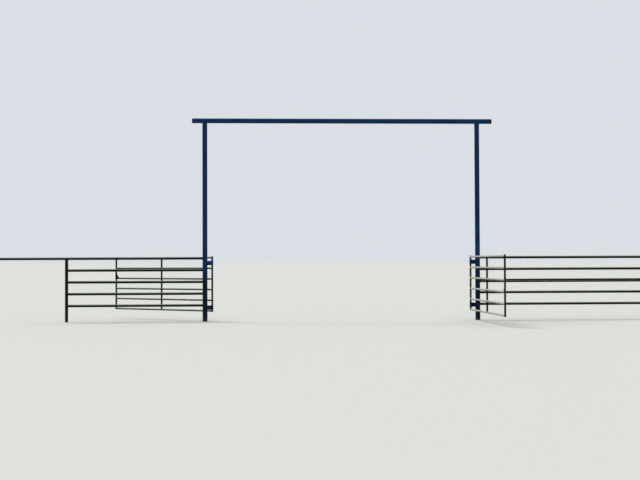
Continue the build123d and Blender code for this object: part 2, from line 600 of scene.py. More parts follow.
@dataclass(frozen=True)
class ZincSteel(Finish):
    """Zinc-plated steel gone dull, with a little rust.

    Attributes:
        zinc: The plating where it is fresh.
        dulled: The plating where it is dull.
        rust: The rust.
        dulling: Ramp of the dull patches.
        rusting: Ramp of the rust spots.
        shine: How metallic the plating is.
        roughness: Of fresh plating.
        dull_film: What dulling adds to the roughness.
        rust_film: What rust adds to it.
    """

    zinc: Colour = (0.15, 0.16, 0.16)
    dulled: Colour = (0.05, 0.05, 0.05)
    rust: Colour = (0.16, 0.055, 0.02)
    dulling: Ramp = (0.4, 0.62)
    rusting: Ramp = (0.62, 0.72)
    shine: float = 0.85
    roughness: float = 0.38
    dull_film: float = 0.2
    rust_film: float = 0.25

    def surface(self, tree: ShaderTree) -> Inputs:
        """Dulls the plating and spots it with rust.

        Args:
            tree: The material's tree.

        Returns:
            Inputs of the surface shader.
        """
        dull = tree.noise(DULLING).step(*self.dulling)
        rusty = tree.noise(RUST_SPOTS).step(*self.rusting)
        return {
            "Base Color": tree.blend(rusty, tree.blend(dull, self.zinc, self.dulled), self.rust),
            "Metallic": (1.0 - rusty) * self.shine,
            "Roughness": self.roughness + self.dull_film * dull + self.rust_film * rusty,
        }


@dataclass(frozen=True)
class FloorPaint(Finish):
    """Plain matt paint on the studio floor."""

    colour: Colour = (0.62, 0.63, 0.60)
    roughness: float = 0.9
    gloss: float = 0.1

    def surface(self, tree: ShaderTree) -> Inputs:
        """Inputs of the surface shader."""
        paint = (*self.colour, 1.0)
        return {"Base Color": paint, "Roughness": self.roughness, "Specular IOR Level": self.gloss}


class PieceTree(NodeTree):
    """A Geometry Nodes tree with named inputs, used once on a piece and then turned into plain mesh."""

    def __init__(self, name: str) -> None:
        """Makes an empty tree that takes and gives geometry.

        Args:
            name: What the tree is called.
        """
        group = bpy.data.node_groups.new(name, "GeometryNodeTree")
        super().__init__(group)
        for way in ("INPUT", "OUTPUT"):
            group.interface.new_socket("Geometry", in_out=way, socket_type="NodeSocketGeometry")
        self.entry = group.nodes.new("NodeGroupInput")
        self.values: Inputs = {}

    def curves(self) -> Wire:
        """The lines that come in, as curves."""
        lines = Wire(self, self.entry.outputs["Geometry"])
        return self.wire("GeometryNodeMeshToCurve", None, {"Mesh": lines})

    def size(self, name: str, kind: str, value: Any) -> Wire:
        """Adds a named input.

        Args:
            name: What the input is called.
            kind: Float, Int or Material.
            value: What this piece gives it.

        Returns:
            The wire that carries it.
        """
        socket = self.tree.interface.new_socket(name, in_out="INPUT", socket_type=f"NodeSocket{kind}")
        self.values[socket.identifier] = value
        return Wire(self, next(s for s in self.entry.outputs if s.identifier == socket.identifier))

    def swept(self, curve: Wire, sides: Wire | int, radius: Wire, capped: bool, scale: Term = 1.0) -> Wire:
        """Sweeps a round profile along curves.

        Args:
            curve: The curves.
            sides: Faces round the profile.
            radius: The profile's radius.
            capped: Whether open ends are filled.
            scale: Size of the profile along the way.

        Returns:
            The swept mesh.
        """
        circle = {"Resolution": sides, "Radius": radius}
        profile = self.wire("GeometryNodeCurvePrimitiveCircle", None, circle)
        inputs = {"Curve": curve, "Profile Curve": profile, "Scale": scale, "Fill Caps": capped}
        return self.wire("GeometryNodeCurveToMesh", None, inputs)

    def close(self, geometry: Wire, finish: Finish, smooth: bool = True) -> None:
        """Ends the tree with instances made real, the shading and the finish.

        Args:
            geometry: What the tree has made.
            finish: The piece's finish.
            smooth: Whether its faces are shaded smooth.
        """
        finish_input = self.size("Finish", "Material", finish.material())
        real = self.wire("GeometryNodeRealizeInstances", None, {"Geometry": geometry})
        shading = {"Geometry": real, "Shade Smooth": smooth}
        shaded = self.wire("GeometryNodeSetShadeSmooth", None, shading)
        done = self.wire("GeometryNodeSetMaterial", None, {"Geometry": shaded, "Material": finish_input})
        self.node("NodeGroupOutput", None, {"Geometry": done})

    def grow(self, name: str, lines: Iterable[Line], closed: bool) -> bpy.types.Object:
        """Runs the tree on lines and keeps the result as plain mesh.

        Args:
            name: The piece's name.
            lines: The lines that the tree follows.
            closed: Whether each line returns to its start.

        Returns:
            The finished object, at the origin.
        """
        source = placed(f"{name}.path", wire_mesh(name, lines, closed))
        modifier = source.modifiers.new("grow", "NODES")
        modifier.node_group = self.tree
        for identifier, value in self.values.items():
            modifier[identifier] = value
        graph = bpy.context.evaluated_depsgraph_get()
        mesh = bpy.data.meshes.new_from_object(source.evaluated_get(graph))
        mesh.name = name
        bpy.data.objects.remove(source)
        return placed(name, mesh)


def placed(name: str, data: bpy.types.ID) -> bpy.types.Object:
    """Puts data into the scene.

    Args:
        name: The object's name.
        data: A mesh, a light or a camera.

    Returns:
        The object that holds it, at the origin.
    """
    made = bpy.data.objects.new(name, data)
    bpy.context.scene.collection.objects.link(made)
    return made


def wire_mesh(name: str, lines: Iterable[Line], closed: bool) -> bpy.types.Mesh:
    """Mesh of edges alone that runs along lines.

    Args:
        name: Name of the piece that will grow on it.
        lines: The lines.
        closed: Whether each line returns to its start.

    Returns:
        The mesh.
    """
    points: list[Vector] = []
    edges: list[tuple[int, int]] = []
    for line in lines:
        first = len(points)
        points.extend(line)
        edges.extend((first + i, first + i + 1) for i in range(len(line) - 1))
        if closed:
            edges.append((first + len(line) - 1, first))
    mesh = bpy.data.meshes.new(f"{name}.path")
    mesh.from_pydata(points, edges, [])
    return mesh


def shell(
    name: str, points: Sequence[Vector | Triple], faces: Sequence[Face], finish: Finish
) -> bpy.types.Object:
    """Makes an object of points and faces.

    Args:
        name: The piece's name.
        points: Its points.
        faces: Its faces, as numbers of the points.
        finish: Its finish.

    Returns:
        The object, at the origin.
    """
    mesh = bpy.data.meshes.new(name)
    mesh.from_pydata(points, [], faces)
    mesh.materials.append(finish.material())
    return placed(name, mesh)


def settle(piece: bpy.types.Object, body: Body) -> None:
    """Makes a piece ride on its body and logs it.

    Args:
        piece: The piece.
        body: The body that carries it.
    """
    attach(piece, body.value)
    count = sum(len(face.vertices) - 2 for face in piece.data.polygons)
    log.info("%s: %d triangles on %s", piece.name, count, body.value)


def dress(names: Iterable[str], finish: Finish) -> None:
    """Gives nodes their finish and logs them.

    Args:
        names: The nodes' names.
        finish: Their finish.
    """
    for name in names:
        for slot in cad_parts[name].material_slots:
            slot.material = finish.material()
        log.info("%s: %s", name, finish.name)


@dataclass(frozen=True)
class WeldBead:
    """A hand-laid weld: a rounded bead with ripples where the pool froze.

    Attributes:
        radius: Half the bead's width.
        pitch: From one ripple to the next.
        depth: How far a ripple falls, as a share of the radius.
        wander: How unevenly the bead is laid, as a share of the radius.
        sides: Faces round the bead.
        steps: Samples to a ripple.
        seed: Which unevenness it gets.
        uneven_scale: Swells of the unevenness to the metre.
        uneven_detail: Levels of finer swells.
    """

    radius: float
    pitch: float = 5.0 * MM
    depth: float = 0.28
    wander: float = 0.30
    sides: int = 8
    steps: int = 4
    seed: int = 7
    uneven_scale: float = 55.0
    uneven_detail: float = 2.0

    def lay(self, name: str, lines: Iterable[Line], finish: Finish, closed: bool = True) -> bpy.types.Object:
        """Lays beads along lines.

        Args:
            name: The piece's name.
            lines: The lines to weld.
            finish: The beads' finish.
            closed: Whether each line returns to its start.

        Returns:
            The beads as one piece.
        """
        tree = PieceTree(f"{name}.bead")
        radius = tree.size("Bead Radius", "Float", self.radius)
        pitch = tree.size("Ripple Pitch", "Float", self.pitch)
        depth = tree.size("Ripple Depth", "Float", self.depth)
        wander = tree.size("Wander", "Float", self.wander)
        seed = tree.size("Seed", "Float", float(self.seed))
        spacing = {"Curve": tree.curves(), "Length": pitch / float(self.steps)}
        curve = tree.wire("GeometryNodeResampleCurve", {"mode": "LENGTH"}, spacing)
        run = tree.wire("GeometryNodeSplineParameter", output="Length")
        ripple = 1.0 - depth * (run / pitch).fraction()
        swells = {"W": seed, "Scale": self.uneven_scale, "Detail": self.uneven_detail}
        swells["Vector"] = tree.wire("GeometryNodeInputPosition")
        uneven = tree.wire("ShaderNodeTexNoise", {"noise_dimensions": "4D"}, swells)
        thickness = ripple * (1.0 + wander * (uneven - MIDDLE) * 2.0)
        tree.close(tree.swept(curve, self.sides, radius, True, thickness), finish)
        return tree.grow(name, lines, closed)


@dataclass(frozen=True)
class Pipe:
    """A straight pipe: a point on its axis, the axis and the outer radius."""

    point: Vector
    axis: Vector
    radius: float

    @classmethod
    def upright(cls, node: str) -> "Pipe":
        """The pipe of an upright node, its point at the foot."""
        low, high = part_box(node)
        return cls(Vector(((low.x + high.x) / 2, (low.y + high.y) / 2, low.z)), UP, (high.x - low.x) / 2)

    @classmethod
    def level(cls, node: str) -> "Pipe":
        """The pipe of a node that lies along X, its point at the left end."""
        low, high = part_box(node)
        return cls(Vector((low.x, (low.y + high.y) / 2, (low.z + high.z) / 2)), ACROSS, (high.z - low.z) / 2)

    def at(self, height: float) -> Vector:
        """The point of an upright pipe's axis at a height."""
        return Vector((self.point.x, self.point.y, height))


def round_outline(radius: float, points: int = 48) -> list[tuple[float, float]]:
    """Outline of a pipe's end, as pairs along and across the pipe that it meets."""
    turns = [2 * math.pi * i / points for i in range(points)]
    return [(radius * math.cos(turn), radius * math.sin(turn)) for turn in turns]


def plate_outline(thickness: float, height: float, points: int = 12) -> list[tuple[float, float]]:
    """Outline of a plate's end, as pairs along and across the pipe that it meets."""
    rise = [height * (i / points - 0.5) for i in range(points + 1)]
    return [(up, thickness / 2) for up in rise] + [(up, -thickness / 2) for up in reversed(rise)]


def seam(main: Pipe, centre: Vector, outward: Vector, outline: Iterable[tuple[float, float]]) -> Line:
    """Line along which an end lies on the side of a pipe.

    Args:
        main: The pipe that carries the end.
        centre: Where the end's own axis meets the pipe's axis.
        outward: Direction from there to the end.
        outline: The end's outline, along and across the pipe.

    Returns:
        Points of the closed line.
    """
    sideways = main.axis.cross(outward)
    line = []
    for along, across in outline:
        across = max(-main.radius, min(main.radius, across))
        out = math.sqrt(main.radius**2 - across**2)
        line.append(centre + main.axis * along + sideways * across + outward * out)
    return line


def ring(centre: Vector, axis: Vector, radius: float) -> Line:
    """Circle about an axis."""
    first = axis.orthogonal().normalized()
    return [centre + first * u + axis.cross(first) * v for u, v in round_outline(radius)]


def cap_seam(node: str, side: Side) -> Line:
    """Line where a capping disc lies on its pipe's end.

    Args:
        node: The disc's node.
        side: The side that the pipe's end looks to.

    Returns:
        Points of the closed line.
    """
    low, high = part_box(node)
    disc = Pipe.level(node)
    inner = high.x if side is Side.LEFT else low.x
    return ring(Vector((inner, disc.point.y, disc.point.z)), ACROSS, disc.radius)


def sleeve_tops(side: Side) -> tuple[float, ...]:
    """Heights at which a gate's collars run on their sleeves, the upper one first."""
    return tuple(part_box(f"{side.word}_{level}_hinge_sleeve")[1].z for level in HINGE_LEVELS)


def even_steps(low: float, high: float, count: int = 17) -> list[float]:
    """Evenly spaced values from low to high."""
    return [low + (high - low) * i / (count - 1) for i in range(count)]


# The enamels: navy on the tall frame and the hinges, black with a green cast on the fence and gates
NAVY: Colour = (0.001, 0.031, 0.108)
BLACK_GREEN: Colour = (0.0012, 0.0045, 0.0030)
# Pale tops of the fence rails: a painted highlight, with some bleach
FENCE_PAINTED_HIGHLIGHT: Colour = (0.20, 0.25, 0.22)
# The tall frame and the hinges are painted darker below 1.5 m, a painted reflection of the ground
FRAME_WEAR_AND_DARK_REFLECTION: Inputs = {"chalking": 0.08, "dust": 0.06, "stained_top": 1.5, "chips": 0.7, "gloss": 0.08}
# Pale tops of the gate rails: a painted highlight
RAIL_PAINTED_HIGHLIGHT: Inputs = {"chalk": (0.48, 0.51, 0.45), "chalking": 0.95, "chalk_over": 0.3}
FRAME_ENAMEL = PipeEnamel("frame_enamel_finish", NAVY, rusting=0.5, **FRAME_WEAR_AND_DARK_REFLECTION)
FRAME_WELD = WeldEnamel("frame_weld_finish", NAVY, rusting=0.35, **FRAME_WEAR_AND_DARK_REFLECTION)
HINGE_ENAMEL = HingeEnamel("hinge_finish", NAVY, chalking=0.08, stained_top=1.5, rusting=0.5, gloss=0.1)
FENCE_ENAMEL = PipeEnamel("fence_enamel_finish", BLACK_GREEN, chalk=FENCE_PAINTED_HIGHLIGHT, chalking=0.9, gloss=0.1)
FENCE_WELD = WeldEnamel("fence_weld_finish", BLACK_GREEN, chalking=0.15, rusting=0.4, gloss=0.1)
# The right gate's rails start pale from low on their sides: a painted reflection of the sky, nearly all
# round
RAIL_ENAMEL = {
    Side.LEFT: PipeEnamel("left_gate_rail_finish", BLACK_GREEN, chalk_from=0.1, gloss=0.15, **RAIL_PAINTED_HIGHLIGHT),
    Side.RIGHT: PipeEnamel("right_gate_rail_finish", BLACK_GREEN, chalk_from=-0.45, gloss=0.5, **RAIL_PAINTED_HIGHLIGHT),
}
GATE_ENAMEL = PipeEnamel("gate_enamel_finish", BLACK_GREEN, chalking=0.15, dust=0.1, gloss=0.1)
GATE_WELD = WeldEnamel("gate_weld_finish", BLACK_GREEN, chalking=0.3, rusting=0.4, gloss=0.1)
CHAIN_STEEL = ZincSteel("chain_zinc_finish")


@dataclass
class TallFrame:
    """Both tall posts under the header, with the welds of the saddles and caps."""

    bead: WeldBead = WeldBead(radius=3.6 * MM)
    cap_bead: WeldBead = WeldBead(radius=2.6 * MM, seed=11)

    def build(self) -> None:
        """Dresses the nodes and lays the welds."""
        posts = [f"{side.word}_gatepost" for side in Side]
        caps = [f"header_{side.word}_cap" for side in Side]
        dress((*posts, "header_pipe", *caps), FRAME_ENAMEL)
        header = Pipe.level("header_pipe")
        saddles = []
        for post in map(Pipe.upright, posts):
            saddles.append(seam(header, post.at(header.point.z), -UP, round_outline(post.radius)))
        settle(self.bead.lay("header_saddle_welds", saddles, FRAME_WELD), Body.GATEWAY)
        ends = [cap_seam(cap, side) for cap, side in zip(caps, Side)]
        settle(self.cap_bead.lay("header_cap_welds", ends, FRAME_WELD), Body.GATEWAY)


@dataclass
class FenceWing:
    """Rails and posts to one side of the gateway, with the welds of every joint.

    Attributes:
        side: Which wing it is.
        bead: The weld of a pipe's end.
        cap_bead: The weld of the rail's cap.
        stitch_length: Of a short weld between the doubled rails.
        stitch_spacing: From one to the next, about.
        stitch_sink: How deep it sits in the valley.
        stitch_points: Points along it.
    """

    side: Side
    bead: WeldBead = WeldBead(radius=3.0 * MM, seed=3)
    cap_bead: WeldBead = WeldBead(radius=2.4 * MM, seed=5)
    stitch_length: float = 60 * MM
    stitch_spacing: float = 640 * MM
    stitch_sink: float = 0.6 * MM
    stitch_points: int = 13

    def build(self) -> None:
        """Dresses the nodes and lays the welds."""
        word, outward = self.side.word, self.side.outward
        nodes = [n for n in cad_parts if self._is_fence(n)]
        dress(nodes, FENCE_ENAMEL)
        gatepost = Pipe.upright(f"{word}_gatepost")
        line_post = Pipe.upright(f"{word}_line_post")
        top = Pipe.level(f"{word}_top_rail")
        lines = [seam(gatepost, gatepost.at(top.point.z), outward, round_outline(top.radius))]
        for post in (line_post, Pipe.upright(f"{word}_end_post")):
            lines.append(seam(top, post.at(top.point.z), -UP, round_outline(post.radius)))
        for node in nodes:
            if node.startswith(f"{word}_rail_"):
                rail = Pipe.level(node)
                outline = round_outline(rail.radius)
                lines.append(seam(gatepost, gatepost.at(rail.point.z), outward, outline))
                lines.append(seam(line_post, line_post.at(rail.point.z), -outward, outline))
        settle(self.bead.lay(f"{word}_wing_welds", lines, FENCE_WELD), Body.GATEWAY)
        cap = [cap_seam(f"{word}_top_rail_cap", self.side)]
        settle(self.cap_bead.lay(f"{word}_rail_cap_weld", cap, FENCE_WELD), Body.GATEWAY)
        if f"{word}_rail_3_upper" in nodes:
            stitches = self._stitches(f"{word}_rail_3_upper", f"{word}_rail_3_lower")
            piece = self.bead.lay(f"{word}_rail_3_stitches", stitches, FENCE_WELD, closed=False)
            settle(piece, Body.GATEWAY)

    def _is_fence(self, node: str) -> bool:
        """Whether a node is part of this wing."""
        kinds = ("line_post", "end_post", "top_rail", "rail_")
        return any(node.startswith(f"{self.side.word}_{kind}") for kind in kinds)

    def _stitches(self, upper: str, lower: str) -> Iterable[Line]:
        """Short welds, front and back, along the valley between two stacked rails.

        Args:
            upper: Node of the upper rail.
            lower: Node of the lower rail.

        Returns:
            An open line to a weld.
        """
        top, bottom = Pipe.level(upper), Pipe.level(lower)
        half_way = (top.point.z - bottom.point.z) / 2
        reach = math.sqrt((top.radius + self.bead.radius - self.stitch_sink) ** 2 - half_way**2)
        low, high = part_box(upper)
        count = int((high.x - low.x) / self.stitch_spacing)
        spacing = (high.x - low.x) / count
        steps = even_steps(-self.stitch_length / 2, self.stitch_length / 2, self.stitch_points)
        for i in range(count):
            middle = low.x + spacing * (i + 0.5)
            for across in (-reach, reach):
                yield [Vector((middle + step, across, bottom.point.z + half_way)) for step in steps]


@dataclass
class Hinges:
    """The plates and sleeves that carry one gate, rubbed bright where the gate's collars run on them."""

    side: Side
    bead: WeldBead = WeldBead(radius=2.8 * MM, seed=13)

    def finish(self) -> HingeEnamel:
        """Hinge enamel, with the heights of the sleeves' tops."""
        name = f"{self.side.word}_hinge_finish"
        return replace(HINGE_ENAMEL, name=name, running_faces=sleeve_tops(self.side))

    def build(self) -> None:
        """Dresses the nodes and lays the welds."""
        word, outward = self.side.word, self.side.outward
        finish = self.finish()
        post = Pipe.upright(f"{word}_gatepost")
        lines = []
        for level in HINGE_LEVELS:
            plate = f"{word}_{level}_hinge_plate"
            sleeve_node = f"{word}_{level}_hinge_sleeve"
            dress((plate,), FRAME_ENAMEL)
            dress((sleeve_node,), finish)
            low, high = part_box(plate)
            outline = plate_outline(high.y - low.y, high.z - low.z)
            middle = (low.z + high.z) / 2
            sleeve = Pipe.upright(sleeve_node)
            lines.append(seam(post, post.at(middle), -outward, outline))
            lines.append(seam(sleeve, sleeve.at(middle), outward, outline))
        dress((f"{word}_gate_collars",), finish)
        settle(self.bead.lay(f"{word}_hinge_welds", lines, FRAME_WELD), Body.GATEWAY)


@dataclass(frozen=True)
class DomedPlug:
    """A shallow dome that plugs a pipe's end.

    Attributes:
        height: Of the dome.
        rings: Rings of faces from the rim to the crown.
        sides: Faces round the rim.
    """

    height: float = 5 * MM
    rings: int = 5
    sides: int = 32

    def add(self, base: Vector, radius: float, points: Line, faces: list[Face]) -> None:
        """Adds a closed dome to a mesh in the making.

        Args:
            base: Middle of the rim.
            radius: Of the rim.
            points: The mesh's points so far.
            faces: The mesh's faces so far.
        """
        first = len(points)
        for level in range(self.rings):
            turn = QUARTER_TURN * level / self.rings
            reach, rise = radius * math.cos(turn), self.height * math.sin(turn)
            rim = round_outline(1.0, self.sides)
            points.extend(base + Vector((reach * c, reach * s, rise)) for c, s in rim)
        points.append(base + UP * self.height)
        for level in range(self.rings - 1):
            for i in range(self.sides):
                a = first + level * self.sides + i
                b = first + level * self.sides + (i + 1) % self.sides
                faces.append((a, b, b + self.sides, a + self.sides))
        last = first + (self.rings - 1) * self.sides
        faces.extend((last + i, last + (i + 1) % self.sides, len(points) - 1) for i in range(self.sides))
        faces.append(tuple(first + i for i in reversed(range(self.sides))))


@dataclass
class SwingGate:
    """One gate: its weld beads, stile plugs and finish, all on the gate's own body.

    Attributes:
        side: Which gate it is.
        rails: How many rails it has.
        bead: The weld of every joint.
        plug: The plug in the top of a stile.
        stile_nodes: Nodes of the hinge stile and the end stile.
    """

    side: Side
    rails: int = 6
    bead: WeldBead = WeldBead(radius=2.3 * MM, pitch=4.0 * MM, seed=17)
    plug: DomedPlug = DomedPlug()
    stile_nodes: list[str] = field(init=False)

    def __post_init__(self) -> None:
        """Reads the gate's lines from the frame."""
        word = self.side.word
        self.stile_nodes = [f"{word}_gate_hinge_stile", f"{word}_gate_end_stile"]
        self.hinge_stile, self.end_stile = (Pipe.upright(node) for node in self.stile_nodes)
        self.along = (self.end_stile.point - self.hinge_stile.point).normalized()
        low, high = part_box(f"{word}_gate_rails")
        radius = self.hinge_stile.radius
        self.heights = even_steps(high.z - radius, low.z + radius, self.rails)

    def build(self) -> None:
        """Dresses the nodes, lays the welds and plugs the stiles."""
        word, body = self.side.word, self.side.gate_body
        dress([*self.stile_nodes, f"{word}_gate_mid_stay"], GATE_ENAMEL)
        dress([f"{word}_gate_rails"], RAIL_ENAMEL[self.side])
        welds = [*self._rail_seams(), *self._stay_seams(), *self._collar_rings()]
        settle(self.bead.lay(f"{word}_gate_welds", welds, GATE_WELD), body)
        settle(self._stile_plugs(), body)

    def _rail_seams(self) -> Iterable[Line]:
        """Both ends of every rail.

        Returns:
            A closed line to an end.
        """
        outline = round_outline(self.hinge_stile.radius)
        for height in self.heights:
            yield seam(self.hinge_stile, self.hinge_stile.at(height), self.along, outline)
            yield seam(self.end_stile, self.end_stile.at(height), -self.along, outline)

    def _stay_seams(self) -> Iterable[Line]:
        """Both ends of every length of the mid stay.

        Returns:
            A closed line to an end.
        """
        stay = Pipe.upright(f"{self.side.word}_gate_mid_stay")
        outline = round_outline(stay.radius)
        for upper, lower in zip(self.heights, self.heights[1:]):
            for height, way in ((upper, -UP), (lower, UP)):
                rail = Pipe(stay.at(height), self.along, self.hinge_stile.radius)
                yield seam(rail, rail.point, way, outline)

    def _collar_rings(self) -> Iterable[Line]:
        """The weld on top of each collar, round the hinge stile.

        Returns:
            A circle to a collar.
        """
        tops = sleeve_tops(self.side)
        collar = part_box(f"{self.side.word}_gate_collars")[1].z - tops[0]
        for top in tops:
            yield ring(self.hinge_stile.at(top + collar), UP, self.hinge_stile.radius)

    def _stile_plugs(self) -> bpy.types.Object:
        """Domed plugs in the tops of both stiles.

        Returns:
            The plugs as one piece.
        """
        points: Line = []
        faces: list[Face] = []
        for node, stile in zip(self.stile_nodes, (self.hinge_stile, self.end_stile)):
            self.plug.add(stile.at(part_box(node)[1].z), stile.radius, points, faces)
        plugs = shell(f"{self.side.word}_stile_plugs", points, faces, GATE_ENAMEL)
        plugs.data.shade_smooth()
        return plugs


@dataclass
class LatchPlate:
    """The slotted plate on the left gate's end stile, with its welds along the stile and the rail.

    It has the faces, the foot and the slot of the plate in the solids, and stands for it at its full
    height and reach.

    Attributes:
        node: The plate in the solids.
        rail: Which rail it sits on, from the top.
        rise: Top of the plate above the middle of its rail.
        reach: From the stile's axis to the plate's toe.
        head: From the stile's axis to where the plate starts to slant.
        toe: Where the slant ends, above the middle of the rail.
        corner: Radius of the plate's corners.
        slot_off: From the stile's axis to the middle of the slot.
        slot_width: Across the slot.
        slot_floor: Lowest point of the slot, above the middle of the rail.
        mouth_corner: Radius of the corners at the slot's mouth.
        arris: How far the plate's edges are eased.
        bead: The weld along its edges.
        stand_off: How far the bead's middle lies off the steel.
        end_margin: How far the upright weld stops from the plate's ends.
        seat_height: Height of the level weld above the middle of the rail.
        seat_run: Where that weld starts and ends, from the stile's axis.
    """

    node: str = "left_gate_latch_plate"
    rail: int = 3
    rise: float = 165 * MM
    reach: float = 112 * MM
    head: float = 10 * MM
    toe: float = 8 * MM
    corner: float = 6 * MM
    slot_off: float = 38 * MM
    slot_width: float = 11 * MM
    slot_floor: float = 30.1 * MM
    mouth_corner: float = 2 * MM
    arris: float = 0.5 * MM
    bead: WeldBead = WeldBead(radius=2.6 * MM, seed=23)
    stand_off: float = 1.0 * MM
    end_margin: float = 8 * MM
    seat_height: float = 8 * MM
    seat_run: tuple[float, float] = (44 * MM, 104 * MM)

    def build(self) -> None:
        """Cuts the plate and lays its welds."""
        gate = SwingGate(Side.LEFT)
        stile, along = gate.end_stile, gate.along
        face = UP.cross(along)
        rail_height = gate.heights[self.rail - 1]
        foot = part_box(self.node)[0].z
        corners = [v.co - stile.at(rail_height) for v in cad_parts[self.node].data.vertices]
        lap = max(corner.dot(along) for corner in corners)
        offsets = [corner.dot(face) for corner in corners]
        inner = face * min(offsets)
        through = face * (max(offsets) - min(offsets))
        outline = self._outline(-lap, foot - rail_height)
        rim = [stile.at(rail_height + up) - along * out + inner for out, up in outline]
        plate = eased_slab("latch_plate", rim, through, self.arris, GATE_ENAMEL)
        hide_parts(self.node)
        settle(plate, Body.LEFT_GATE)
        beside = along * (lap + self.stand_off) + face * self._surface(stile.radius, lap)
        heights = even_steps(foot + self.end_margin, rail_height + self.rise - self.end_margin)
        seat = stile.at(rail_height + self.seat_height)
        seat = seat + face * self._surface(stile.radius, self.seat_height)
        lines = [[stile.at(z) + beside for z in heights]]
        lines.append([seat - along * run for run in even_steps(*self.seat_run)])
        piece = self.bead.lay("latch_plate_welds", lines, GATE_WELD, closed=False)
        settle(piece, Body.LEFT_GATE)

    def _outline(self, edge: float, foot: float) -> list[Vector]:
        """Outline of the plate, open at the slot.

        Args:
            edge: The plate's upright edge, from the stile's axis.
            foot: The plate's lower edge, from the middle of the rail.

        Returns:
            Points anticlockwise, as pairs towards the hinge and up.
        """
        near, far = self.slot_off - self.slot_width / 2, self.slot_off + self.slot_width / 2
        fall = (self.rise - self.toe) / (self.reach - self.head)
        corners = [
            (edge, foot, self.corner),
            (self.reach, foot, self.corner),
            (self.reach, self.toe, self.corner),
            (far, self.rise - (far - self.head) * fall, self.mouth_corner),
            (far, self.slot_floor, self.slot_width / 2),
            (near, self.slot_floor, self.slot_width / 2),
            (near, self.rise - (near - self.head) * fall, self.mouth_corner),
            (self.head, self.rise, self.corner),
            (edge, self.rise, self.corner),
        ]
        return rounded(corners)

    def _surface(self, radius: float, off: float) -> float:
        """How far a bead's middle lies from a pipe's axis plane, at a distance off its middle line."""
        return math.sqrt(radius**2 - off**2) + self.stand_off


def rounded(corners: Sequence[Triple], steps: int = 6) -> list[Vector]:
    """Closed outline with an arc at each corner.

    Args:
        corners: Each corner's place and radius.
        steps: Stretches in an arc.

    Returns:
        Points of the outline, in the corners' order.
    """
    line: list[Vector] = []
    for i, (x, y, radius) in enumerate(corners):
        corner = Vector((x, y))
        back = (Vector(corners[i - 1][:2]) - corner).normalized()
        on = (Vector(corners[(i + 1) % len(corners)][:2]) - corner).normalized()
        half = back.angle(on) / 2
        centre = corner + (back + on).normalized() * radius / math.sin(half)
        first = corner + back * radius / math.tan(half) - centre
        last = corner + on * radius / math.tan(half) - centre
        line.extend(centre + first.slerp(last, k / steps) * radius for k in range(steps + 1))
    return line


def eased_slab(name: str, rim: Line, through: Vector, arris: float, finish: Finish) -> bpy.types.Object:
    """Closed flat plate with its edges eased.

    Args:
        name: The piece's name.
        rim: Outline of the plate's one face, anticlockwise as seen from the other.
        through: From that face to the other.
        arris: How far the edges are eased.
        finish: The plate's finish.

    Returns:
        The plate, at the origin.
    """
    count = len(rim)
    sides = [(i, (i + 1) % count, (i + 1) % count + count, i + count) for i in range(count)]
    faces = [tuple(reversed(range(count))), tuple(range(count, 2 * count)), *sides]
    made = shell(name, [*rim, *(point + through for point in rim)], faces, finish)
    solid = bmesh.new()
    solid.from_mesh(made.data)
    bmesh.ops.remove_doubles(solid, verts=solid.verts, dist=SAME_POINT)
    # Only the plate's two flat faces have more than four corners
    edges = [e for e in solid.edges if any(len(f.verts) > 4 for f in e.link_faces)]
    bmesh.ops.bevel(solid, geom=edges, offset=arris, segments=2, profile=0.5, affect="EDGES")
    solid.to_mesh(made.data)
    solid.free()
    return made


@dataclass(frozen=True)
class RoundBar:
    """A bar swept along a line, round or with a few flats."""

    radius: float
    sides: int

    def sweep(self, name: str, line: Line, finish: Finish) -> bpy.types.Object:
        """Sweeps the bar along one open line.

        Args:
            name: The piece's name.
            line: The line.
            finish: The bar's finish.

        Returns:
            The bar, with flat faces.
        """
        tree = PieceTree(f"{name}.bar")
        radius = tree.size("Bar Radius", "Float", self.radius)
        sides = tree.size("Sides", "Int", self.sides)
        tree.close(tree.swept(tree.curves(), sides, radius, True), finish, smooth=False)
        return tree.grow(name, [line], closed=False)


